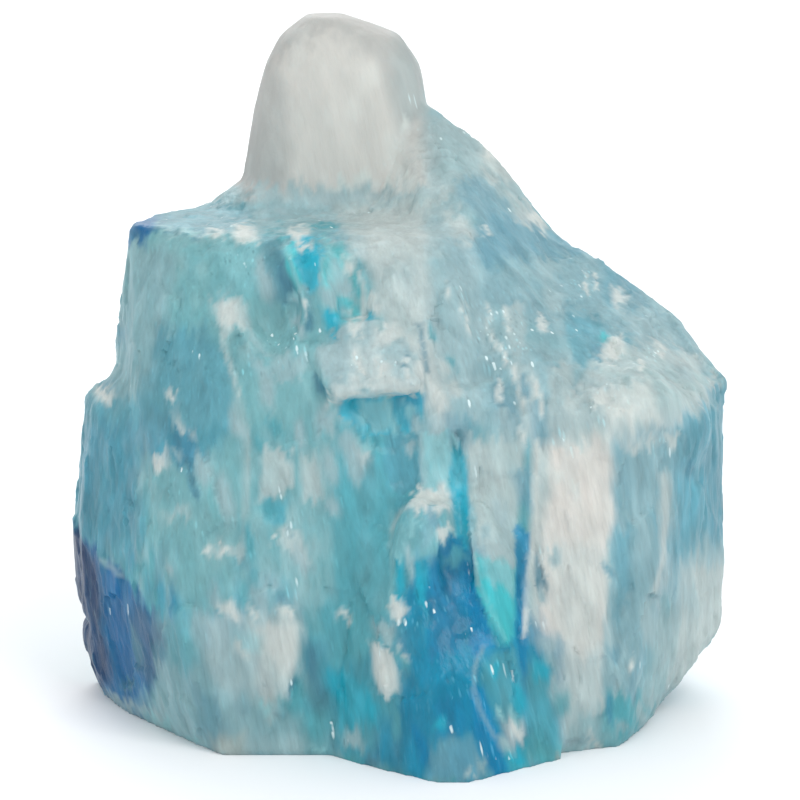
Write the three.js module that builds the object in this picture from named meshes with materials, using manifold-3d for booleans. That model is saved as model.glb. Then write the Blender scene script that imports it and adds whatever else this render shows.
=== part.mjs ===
// A hand-sized lump of blue rock salt (halite), one solid, in millimetres, +Z up.
// It stands on a flat broken face. The front is towards -Y, and the origin is the middle of its
// bounding box at the base. The lump is a union of convex masses, each bounded by the flat faces it broke
// along. Salt splits along three square directions, so the slots, steps and chips are cut with blocks
// turned to that one cleavage frame.
import * as THREE from "three";
import { ConvexGeometry } from "three/addons/geometries/ConvexGeometry.js";
import { MeshSurfaceSampler } from "three/addons/math/MeshSurfaceSampler.js";
import { mergeVertices } from "three/addons/utils/BufferGeometryUtils.js";
import Module from "manifold-3d";

// Driving dimensions
const LUMP_HEIGHT = 75.3;
const LEDGE_HEIGHT = 54;
const SHELF_HEIGHT = 39.5;
const SHOULDER_HEIGHT = 36.5;
const LOBE_HEIGHT = 34;
const STEP_HEIGHT = 28;
const FRONT_Y = -24.3;
const PROW_Y = -33.5;
const BACK_Y = 28;
const LEFT_X = -36.8;
const RIGHT_X = 36.1;

// Upright ribs of the pillar, from left to right: [left, right, foot, head, proud of the face, lean]
const RIBS = [
  [13.2, 16, 8, 27, 0.4, 0.6],
  [14.6, 18.6, 2.5, 35, 0.8, 0.9],
  [16.8, 21, 1.5, 36, 1, 0.4],
  [19.4, 22.6, 4.5, 31, 0.5, 0.9],
];
// The right face leans back as it rises and turns back to the right: its Y along two level lines
const RIGHT_FACE_TOP = { z: SHOULDER_HEIGHT, x: 8.4, y: -20.5, slope: 0.096 };
const RIGHT_FACE_LOW = { z: 8.5, x: 12, y: -25, slope: 0.27 };

// The cleavage frame, and how far a chip may stray from it
const CLEAVAGE = new THREE.Euler(0.04, 0.03, -0.17);
const CHIP_STRAY = 0.3;
const SEED = 6;
// Chips, by size. None lies further forward than its size's `frontmost`, which keeps the large ones on the
// back half and every chip off the smooth prow, because the front's forms are set out one by one.
const CHIP_SIZES = [
  { count: 9, wide: [6, 12], tall: [8, 16], bite: [0.5, 0.9], frontmost: 6 },
  { count: 44, wide: [2.4, 4.6], tall: [4, 8], bite: [0.3, 0.55], frontmost: -22.5 },
  { count: 90, wide: [1.2, 2.4], tall: [2, 5], bite: [0.25, 0.45], frontmost: -24.5 },
];
const SMOOTH_ABOVE = 51.5;
const FOOT_CLEAR = 1.5;

const SALT_BLUE = 0x7fb4bd;

const wasm = await Module();
wasm.setup();

// A repeatable stream of numbers from 0 to 1.
function dice(seed) {
  let state = seed;
  return () => {
    state = (state + 0x6d2b79f5) | 0;
    let t = Math.imul(state ^ (state >>> 15), 1 | state);
    t = (t + Math.imul(t ^ (t >>> 7), 61 | t)) ^ t;
    return ((t ^ (t >>> 14)) >>> 0) / 4294967296;
  };
}
const roll = dice(SEED);

// Turns closed three.js geometry into a solid that can be joined and cut.
function solid(geometry) {
  const bare = geometry.clone();
  bare.deleteAttribute("normal");
  bare.deleteAttribute("uv");
  const merged = mergeVertices(bare, 1e-4);
  return new wasm.Manifold(
    new wasm.Mesh({
      numProp: 3,
      vertProperties: merged.attributes.position.array,
      triVerts: new Uint32Array(merged.index.array),
    }),
  );
}

// Back to three.js geometry.
function geometryOf(lump) {
  const { numProp, vertProperties, triVerts, numVert } = lump.getMesh();
  const positions = new Float32Array(numVert * 3);
  for (let i = 0; i < numVert; i++) {
    positions.set(vertProperties.subarray(i * numProp, i * numProp + 3), i * 3);
  }
  const geometry = new THREE.BufferGeometry();
  geometry.setAttribute("position", new THREE.BufferAttribute(positions, 3));
  geometry.setIndex(new THREE.BufferAttribute(triVerts, 1));
  return geometry.toNonIndexed();
}

// The convex solid whose corners are the given [x, y, z] points.
function hull(points) {
  return solid(new ConvexGeometry(points.map((p) => new THREE.Vector3(...p))));
}

// The convex solid through level outlines: each is a height and its [x, y] corners.
function mass(levels) {
  return hull(levels.flatMap(([z, outline]) => outline.map(([x, y]) => [x, y, z])));
}

// A cut seen in the front view: its [x, z] corners at the front, drawn in by `shrink` at its floor. The floor
// leans with the face it is cut into: its y is given at the highest and at the lowest corner.
function cut(corners, front, [floorHigh, floorLow], shrink = 1) {
  const [mx, mz] = [0, 1].map((k) => corners.reduce((sum, c) => sum + c[k], 0) / corners.length);
  const heights = corners.map(([, z]) => z);
  const [low, high] = [Math.min(...heights), Math.max(...heights)];
  const far = corners.map(([x, z]) => {
    const floor = THREE.MathUtils.lerp(floorLow, floorHigh, (z - low) / (high - low));
    return [mx + (x - mx) * shrink, floor, mz + (z - mz) * shrink];
  });
  return hull([...corners.map(([x, z]) => [x, front, z]), ...far]);
}

// A flake on the front: its outer [x, y, z] corners, and a root set back into the lump.
function flake(corners, root = 4) {
  return hull([...corners, ...corners.map(([x, y, z]) => [x, y + root, z])]);
}

// A block turned to the cleavage frame, and by `turn` more about the upright.
function block([x, y, z], [wide, deep, tall], turn = 0) {
  const box = new THREE.BoxGeometry(wide, deep, tall).rotateZ(turn);
  return solid(box.applyQuaternion(new THREE.Quaternion().setFromEuler(CLEAVAGE)).translate(x, y, z));
}

// An uneven boulder: corners spread over an ellipsoid by the golden angle, each a little in or out.
// It leans in the front view.
function boulder([x, y, z], [rx, ry, rz], lean = 0, corners = 34) {
  const golden = Math.PI * (3 - Math.sqrt(5));
  const place = new THREE.Matrix4().makeRotationY(lean).setPosition(x, y, z);
  const corner = (_, i) => {
    const level = 1 - (2 * i + 1) / corners;
    const ring = Math.sqrt(1 - level ** 2) * (0.93 + 0.14 * roll());
    return new THREE.Vector3(rx * ring * Math.cos(golden * i), ry * ring * Math.sin(golden * i), rz * level)
      .applyMatrix4(place);
  };
  return solid(new ConvexGeometry(Array.from({ length: corners }, corner)));
}

// A rounded outline: a superellipse about (cx, cy), flatter on its sides than an ellipse.
function rounded(cx, cy, rx, ry, { corners = 13, squareness = 2.8, turned = 0 } = {}) {
  return Array.from({ length: corners }, (_, i) => {
    const turn = ((i + 0.5) / corners) * 2 * Math.PI + turned;
    const [c, s] = [Math.cos(turn), Math.sin(turn)];
    const bulge = (v) => Math.sign(v) * Math.abs(v) ** (2 / squareness);
    return [cx + rx * bulge(c), cy + ry * bulge(s)];
  });
}

// The tall left and middle mass, whose flat top is the ledge round the knob.
function mainMass() {
  return mass([
    [0, [
      [-18.8, FRONT_Y], [-7, FRONT_Y], [14, FRONT_Y], [24, -12], [22, 16],
      [8, 27], [-10, BACK_Y], [-26, 19], [-33, 6], [-24.8, -15.6],
    ]],
    [18, [
      [-24, -21.4], [-17, -23.9], [-4, -24], [12, -23], [24, 14],
      [6, BACK_Y], [-14, 27], [-31, 12], [-31, -8],
    ]],
    [38, [
      [-31.8, 1], [-28.7, -10.4], [-19.5, -18.6], [-9, -19.7], [9, -20],
      [20, 10], [4, 26], [-18, 24], [-30, 10],
    ]],
    [LEDGE_HEIGHT - 1.8, [[4, 22], [-16, 20], [-27, 9], [-24.4, -9], [-9, -13.8], [5, -13]]],
    [LEDGE_HEIGHT, [[-29.4, -3.5], [-23, -6.8], [-9, -11.4], [4.6, -10.4], [10, 4], [-10, 10], [-27.5, 4]]],
  ]);
}

// The lobe that swells out low on the left, with the steep dark facet under it.
function leftLobe() {
  return mass([
    [0, [
      [-34.4, 4], [-33.4, -1.5], [-30.6, -8], [-25.8, -14.8], [-22.4, -19.6], [-18.8, FRONT_Y], [-18, -10],
      [-24, 16],
    ]],
    [5, [[-36, 3.5], [-34.6, -3.5], [-23, -21.6]]],
    [12.5, [[-36.6, 3], [-34.6, -5], [-26.6, -18], [-23, -23]]],
    [20, [[LEFT_X, 3], [-35.2, -5], [-24.5, -20.5], [-34, 11]]],
    [LOBE_HEIGHT, [[-35.2, 2], [-33.6, -5], [-26, -14], [-32, 10], [-24, 4]]],
    [LOBE_HEIGHT + 3.5, [[-31.9, 1], [-30.5, -6], [-26, 4]]],
  ]);
}

// The squarer block low on the right, with an undercut lower edge.
function rightMass() {
  return mass([
    [0, [[11, -25.5], [23.6, -21], [26.2, -15], [28.6, -5.6], [27.5, 8], [18, 18], [4, 4]]],
    [8.5, [[12, -25], [25, -21.5], [RIGHT_X - 0.3, -4], [35, 6], [22, 20]]],
    [SHOULDER_HEIGHT, [[8.4, -20.5], [24, -19], [31, -13], [RIGHT_X, -1], [33, 9], [20, 18], [4, 4]]],
  ]);
}

// The long slope that falls from the knob to the right shoulder, in an upper and a lower run.
function slopeMass() {
  const upper = hull([
    [3.3, 8, 65.7], [9.2, 8, 61.2], [12.4, 8, 56.5], [17.6, 7, 51.6], [0, 5, 62.5], [-3, 2.6, 54.4],
    [8, -7, 54.4], [6, -13, 49], [15, -12, 44], [18, -4, 46], [3, 14, 62.4], [8.6, 14, 58.8], [13, 14, 53],
    [4, 20, 55], [10, 20, 50], [8, 23, 30], [0, 0, 30], [14, 0, 30],
  ]);
  const lower = hull([
    [12.4, 7.4, 54.6], [20.6, 7, 49.4], [26.1, 6, 46], [31.3, 4, 42], [RIGHT_X, -1, 35.5],
    [4, -11, 50.4], [8.4, -20.5, SHOULDER_HEIGHT], [20, -19.6, SHOULDER_HEIGHT],
    [31, -13, SHOULDER_HEIGHT - 0.5], [12, 18, 48], [24, 13, 44.5], [24, 18, 37], [33, 10, 32],
    [4, 24, 36], [20, 20, 30], [0, 0, 30],
  ]);
  return upper.add(lower);
}

// The blunt, smooth, frosted knob that stands on the ledge. Its top leans down to the right.
function knob() {
  return mass([
    [50, rounded(-7, 12, 11.4, 9)],
    [57, rounded(-7, 12, 10.8, 8.8, { turned: 0.2 })],
    [64, rounded(-6.6, 12, 10, 8.4, { turned: 0.05 })],
    [69.5, rounded(-6.5, 11.9, 8.8, 7.4, { turned: 0.3 })],
    [73, rounded(-6.7, 11.7, 6.8, 5.7, { turned: 0.1, corners: 11 })],
    [LUMP_HEIGHT, rounded(-8.4, 11.2, 2.1, 2.8, { corners: 9 })],
  ]);
}

// The low skirt where the knob spreads into the ledge, widest on its left.
function skirt() {
  return mass([
    [LEDGE_HEIGHT - 3, rounded(-12.6, 8.4, 10.2, 6, { turned: 0.25 })],
    [LEDGE_HEIGHT + 0.6, rounded(-12.4, 8.6, 9.2, 5.6, { turned: 0.1 })],
    [LEDGE_HEIGHT + 2.6, rounded(-9.4, 10, 8.6, 6.6, { turned: 0.3 })],
  ]);
}

// The prow: the low block that stands furthest forward, with a step on its left shoulder.
function prow() {
  const low = mass([
    [0, [
      [-7.3, FRONT_Y], [-2.6, -28.6], [3.8, PROW_Y], [7.2, PROW_Y],
      [12.4, -27.6], [17.2, -25.4], [17, -12], [-12, -12],
    ]],
    [13, [[-6, FRONT_Y], [-1, -28.2], [3.8, -31], [7.2, -30.8], [11.5, -27.2], [15, -24.5]]],
    [22, [[-3.5, FRONT_Y + 0.6], [1.6, -26.4], [6.5, -26.6], [10.5, -25], [14, -22]]],
    [30, [[-2, -20], [2, -21.4], [10, -20.4]]],
  ]);
  const step = mass([
    [10, [[-0.9, -28.2], [2.6, -28.9], [4, -18], [-2, -18]]],
    [STEP_HEIGHT - 5, [[-0.7, -26.2], [2.8, -26.6], [4, -18], [-1.6, -18]]],
    [STEP_HEIGHT, [[0.6, -24.2], [5.4, -24.6], [6, -18], [-0.6, -18]]],
  ]);
  return low.add(step);
}

// The white shelf in the middle of the front, which overhangs a hollow.
function shelf() {
  return hull([
    [-7.8, -22.2, SHELF_HEIGHT - 0.5], [2.4, -22.6, SHELF_HEIGHT + 0.6],
    [-7.2, -20.6, 37.6], [2.2, -20.8, 38.4], [-9.6, -16.5, 45], [-4.5, -15.5, 47.2], [2.5, -15, 46.4],
    [-8, -12, 38], [2, -12, 38], [-8, -12, 47], [2, -12, 48],
  ]);
}

// Where the right face is, before the ribs.
function rightFace(x, z) {
  const along = ({ x: x0, y, slope }) => y + slope * (x - x0);
  const rise = (z - RIGHT_FACE_LOW.z) / (RIGHT_FACE_TOP.z - RIGHT_FACE_LOW.z);
  return THREE.MathUtils.lerp(along(RIGHT_FACE_LOW), along(RIGHT_FACE_TOP), rise);
}

// One upright rib of the pillar. It leans left as it rises, tapers to both ends and is bevelled along its
// sides.
function rib([left, right, foot, head, proud, lean]) {
  const bevel = 0.95;
  const root = 1.2;
  const middle = (foot + head) / 2;
  const levels = [[foot, 0], [foot + 4, 0.85], [middle, 1.15], [head - 5, 0.85], [head, 0]];
  return hull(
    levels.flatMap(([z, share]) => {
      const shift = (lean * (middle - z)) / (head - foot);
      return [
        [left + bevel + shift, rightFace(left, z) - proud * share, z],
        [right - bevel + shift, rightFace(right, z) - proud * share, z],
        [left + shift, rightFace(left, z) + root, z],
        [right + shift, rightFace(right, z) + root, z],
      ];
    }),
  );
}

// What the lump gains: swellings, and flakes that stand proud of its faces.
const growths = [
  boulder([24, -12.6, 35.6], [7.8, 5.8, 5], 0.25),
  boulder([29, -9.5, 33], [6, 5.5, 4.6], 0.3),
  flake([
    [-15.4, -23.9, 15.4], [-11, -24.9, 16.4], [-10.6, -25, 10.5], [-12.6, -25, 4.4], [-14.4, -24.7, 8.6],
  ]),
  flake([[-3, -27.4, 13.6], [-1.1, -28.9, 13.8], [-0.4, -29.7, 9], [-2, -28.8, 8.2]], 5),
  flake([[-12.2, -15.2, 53], [-10.6, -16, 52], [-9.6, -17, 45], [-11.2, -16.4, 44]], 3),
  flake([[-9.6, -15.1, 53.4], [-8.2, -15.4, 53], [-6.4, -16.8, 45.6], [-8.2, -17.2, 43.6]], 3),
];

// What it has lost. The straight cuts follow the cleavage, and the boulders leave scoops.
const losses = [
  cut(
    [[-6.9, SHELF_HEIGHT - 0.9], [2.4, SHELF_HEIGHT - 0.1], [1.9, 34.2], [-0.6, 33.6], [-4.6, 35.4]],
    -32, [-19.2, -19.8], 0.8,
  ),
  cut([[-1.5, 34.4], [2.1, 34.4], [2.2, 28.4], [-1.1, 28.2]], -32, [-19.7, -21.2], 0.9),
  cut([[5.2, 35.2], [7, 35.6], [7.2, 28.2], [5.4, 28]], -34, [-19.3, -21], 0.85),
  cut([[5.4, 29], [7.2, 29], [7.5, 22.5], [5.7, 22]], -34, [-20.9, -25.2], 0.85),
  cut([[12, 26.2], [13.2, 25.6], [13, 12], [11.7, 12.4]], -34, [-20.9, -25.4], 0.85),
  cut([[3.5, 24.4], [6.4, 25], [11.8, 13.6], [9.4, 11.4], [3.3, 12.4]], -38, [-23.8, -28.9], 0.85),
  cut([[18, 43.2], [22, 42], [20.8, 38.2], [17.4, 37], [16.6, 40]], -30, [-16.2, -16.2], 0.7),
  boulder([-13.9, -16.4, 47.8], [3.4, 2.9, 5.6], -0.2),
  boulder([-13.6, -17.6, 44.8], [3.1, 2.3, 2.9], -0.3),
  boulder([24.9, -22.6, 17.8], [3, 3.2, 11.2], 0.08),
  boulder([-37.2, -3, 8.6], [3, 10, 1.8], 0.1),
  block([-24, -25.2, 27], [9, 6, 14], -0.32),
  block([-15, -24.6, 30], [7, 6, 9], 0.1),
  block([8, -20.6, 44], [7, 6, 10], 0.3),
  block([-16, 27.4, 44], [18, 9, 34], -0.12),
  block([10, 31, 10], [17, 8, 24], 0.1),
  block([2, 27.4, 45], [11, 6, 24], 0.2),
  block([28, 21.4, 33], [16, 10, 34], -0.5),
  block([-35.4, 10, 34], [8, 15, 30], 0.12),
  block([39.8, 5, 29], [8, 15, 24], 0.3),
  block([-28, 22, 9], [10, 9, 26], 0.5),
];

// A block that bites into the surface at a point, turned near the cleavage frame.
function chip(point, normal, [wide, deep, tall], bite) {
  const stray = () => (roll() - 0.5) * 2 * CHIP_STRAY;
  const turn = new THREE.Quaternion().setFromEuler(
    new THREE.Euler(CLEAVAGE.x + stray(), CLEAVAGE.y + stray(), CLEAVAGE.z + stray()),
  );
  const outward = normal.clone().applyQuaternion(turn.clone().invert());
  const reach = (Math.abs(outward.x) * wide + Math.abs(outward.y) * deep + Math.abs(outward.z) * tall) / 2;
  const centre = point.clone().addScaledVector(normal, reach - bite);
  const block = new THREE.BoxGeometry(wide, deep, tall).applyQuaternion(turn);
  return solid(block.translate(centre.x, centre.y, centre.z));
}

// Chips of each size, spread over every side but the smooth knob and the foot.
function chips(lump) {
  const between = ([low, high]) => low + (high - low) * roll();
  const point = new THREE.Vector3();
  const normal = new THREE.Vector3();
  const sampler = new MeshSurfaceSampler(new THREE.Mesh(geometryOf(lump))).setRandomGenerator(roll).build();
  const bites = [];
  for (const { count, wide, tall, bite, frontmost } of CHIP_SIZES) {
    for (let made = 0; made < count; ) {
      sampler.sample(point, normal);
      const smooth = point.z > SMOOTH_ABOVE || point.z < FOOT_CLEAR;
      if (smooth || point.y < frontmost) continue;
      bites.push(chip(point, normal, [between(wide), between(wide), between(tall)], between(bite)));
      made++;
    }
  }
  return bites;
}

const masses = [
  mainMass(), leftLobe(), rightMass(), slopeMass(), knob(), skirt(), prow(), shelf(),
  ...RIBS.map(rib), ...growths,
];
const whole = masses.reduce((sum, next) => sum.add(next));
const broken = losses.reduce((rest, loss) => rest.subtract(loss), whole);
const chipped = chips(broken).reduce((rest, bite) => rest.subtract(bite), broken);

const geometry = geometryOf(chipped);
geometry.computeBoundingBox();
const middle = geometry.boundingBox.getCenter(new THREE.Vector3());
geometry.translate(-middle.x, -middle.y, -geometry.boundingBox.min.z);

const salt = new THREE.MeshStandardMaterial({ color: SALT_BLUE, roughness: 0.35, metalness: 0 });
const crystal = new THREE.Mesh(geometry, salt);
crystal.name = "salt_crystal";

const object = new THREE.Group();
object.add(crystal);
export default object;
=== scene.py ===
"""A hand-sized lump of cloudy blue rock salt, standing on its flat foot.

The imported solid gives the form. The skin over it is a fine mesh made from that solid, whose relief and tints
are worked out with numpy: cleavage facets and flutes in the salt's own slanting grain, a base coat of soft
patches all round, and the named patches that show from the front. Lengths are in millimetres until a mesh
is written.
"""
import math

import bpy
import numpy as np
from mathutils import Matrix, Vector


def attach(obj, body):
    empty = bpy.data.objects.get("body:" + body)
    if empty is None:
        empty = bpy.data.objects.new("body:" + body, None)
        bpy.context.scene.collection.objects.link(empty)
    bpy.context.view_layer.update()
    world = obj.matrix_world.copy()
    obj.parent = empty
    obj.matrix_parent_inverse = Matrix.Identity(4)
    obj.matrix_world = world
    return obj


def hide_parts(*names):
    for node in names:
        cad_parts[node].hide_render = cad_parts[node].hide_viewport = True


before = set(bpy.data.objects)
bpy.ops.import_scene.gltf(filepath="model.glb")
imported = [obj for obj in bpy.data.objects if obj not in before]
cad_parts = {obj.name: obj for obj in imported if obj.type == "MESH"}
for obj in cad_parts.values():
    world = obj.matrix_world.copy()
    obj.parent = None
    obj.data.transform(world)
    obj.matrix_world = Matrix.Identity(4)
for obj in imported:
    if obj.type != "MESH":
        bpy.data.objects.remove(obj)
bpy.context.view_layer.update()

MM = 0.001

# Camera and front view
TARGET = np.array([0.35, 2.75, 33.6])
CAMERA_DISTANCE = 400.0
CAMERA_ELEVATION = math.radians(12)
VIEW_HALF_WIDTH = 44.45
VIEW_PIXELS = 800
SENSOR_WIDTH = 36.0

# Skin: the width of its squares, the height up to which the foot is calmer, the height up to which it is flat
# on the floor, and how low the rest may come
SKIN_CELL = 0.47
FOOT_HEIGHT = 1.2
FOOT_FLAT = 0.05
FOOT_LIFT = 0.02
# Turns of wear: all over, then round the ledge, whose wear starts and ends softly between four heights, and
# then at soft spots of the front. The ledge's left corner is spared a share of it, growing from the first x
# to the second. A soft spot is [x, y, reach] in view pixels.
WEAR = 7
WEAR_LEDGE = 60
WEAR_SPOTS = 140
SOFT_LEDGE = (48.5, 51.0, 54.6, 56.5)
LEDGE_CORNER = (-21.0, -27.0)
CORNER_KEPT = 0.8
SOFT_SPOTS = (
    (465, 652, 40), (436, 602, 30), (456, 552, 20), (420, 655, 30), (700, 430, 44), (672, 335, 44),
    (492, 470, 22), (440, 350, 36), (480, 690, 36), (500, 622, 26),
)
TOP = 75.3

# Knob: the height where its smooth frost starts, its middle line and reach, how soft the lower edge and the
# rim are, how far streaks draw out the lower edge, and how much of the relief and of the painted glints it
# lacks
KNOB_HEIGHT = 56.0
KNOB_MIDDLE = (-6.6, 14.7)
KNOB_REACH = 12.5
KNOB_EDGE = 3
KNOB_RIM = 1
KNOB_STREAK = 7
KNOB_CALM = 0.85
KNOB_DULL = 0.8

# Grain: the flutes lean left as they rise, and the cleavage is turned a little to the front
GRAIN_LEAN = math.radians(11)
GRAIN_TURN = math.radians(-10)

# Facets of the relief: [width, length along the grain, height of the steps, tilt of the faces]
FACETS = (
    (4.2, 9.0, 0.30, 0.46),
    (1.9, 4.6, 0.17, 0.28),
    (0.95, 2.4, 0.05, 0.12),
)
FLUTE_HEIGHT = 0.05
# The relief's edges stay sharp where its faces meet at more than this
SHARP_ANGLE = math.radians(38)

# Large odd numbers that scatter a cell's three indices
ODD_NUMBERS = (73856093, 19349663, 83492791)
# Sizes of soft noise, across, across and along the grain
FLUTES = (0.9, 0.9, 7.0)
FINE_STREAKS = (0.5, 0.5, 3.2)
KNOB_STREAKS = (0.8, 0.8, 6)
VEIL_STREAKS = (0.6, 0.6, 3.0)
VEILS = (1.6, 1.6, 5.0)
COAT_WANDER = (3, 3, 5)
PATCH_WANDER = (2.0, 2.0, 3.6)
PATCH_CLOUDS = (1.2, 1.2, 4.0)
MOTTLE = (1.5, 1.5, 3.6)

# How the edges of patches are drawn out in streaks along the grain, and how far they wander, in view pixels
STREAK_REACH = 20.0
WANDER_REACH = 9.0

# Tints, as the eye sees them (0 to 255)
TINTS = {
    "frost": (218, 223, 217),
    "pearl": (224, 219, 211),
    "chalk": (190, 188, 183),
    "ash": (160, 174, 173),
    "mist": (196, 206, 202),
    "haze": (166, 191, 193),
    "aqua": (148, 202, 205),
    "lake": (10, 136, 169),
    "fog": (147, 181, 186),
    "sage": (133, 184, 186),
    "teal": (88, 166, 175),
    "lagoon": (74, 200, 202),
    "cyan": (30, 174, 196),
    "azure": (0, 132, 178),
    "royal": (0, 100, 154),
    "navy": (10, 44, 86),
    "dusk": (56, 94, 122),
    "marine": (40, 122, 160),
    "steel": (92, 159, 174),
    "storm": (78, 144, 156),
    "slate": (116, 164, 178),
    # The shade tint is a dark slate blue, laid as painted shade in the hollow, its crack and at the rims, and
    # as darker blue marks of the salt elsewhere
    "shade": (76, 132, 150),
    "sand": (190, 178, 158),
}
# How frosted each tint is, from clear 0 to opaque white 1
FROST = {
    "frost": 1.0, "pearl": 1.0, "chalk": 0.9, "ash": 0.7, "mist": 0.75, "haze": 0.55, "aqua": 0.5,
    "fog": 0.45, "slate": 0.35, "sage": 0.4, "sand": 0.8,
}
FROST_OTHER = 0.12

# Base coat all round: for each size of cell its width, length, strength, softness of edge, share of the cells
# that are painted, and its tints, paler ones last, because the tint is picked paler with height
COAT = (
    (16.0, 26.0, 0.95, 0.5, 1.0, ("lake", "teal", "steel", "teal", "sage", "slate", "fog", "haze", "haze")),
    (9.0, 17.0, 0.7, 1.0, 0.7, ("azure", "steel", "lagoon", "sage", "fog", "haze", "mist", "mist")),
    (4.6, 10.5, 0.5, 0.95, 0.24, ("lake", "teal", "shade", "haze", "mist", "frost")),
    (1.9, 4.6, 0.4, 0.8, 0.08, ("shade", "cyan", "haze", "mist", "frost")),
)
# How much paler the tints are picked at the top than at the foot
COAT_PALER = 0.35

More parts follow.
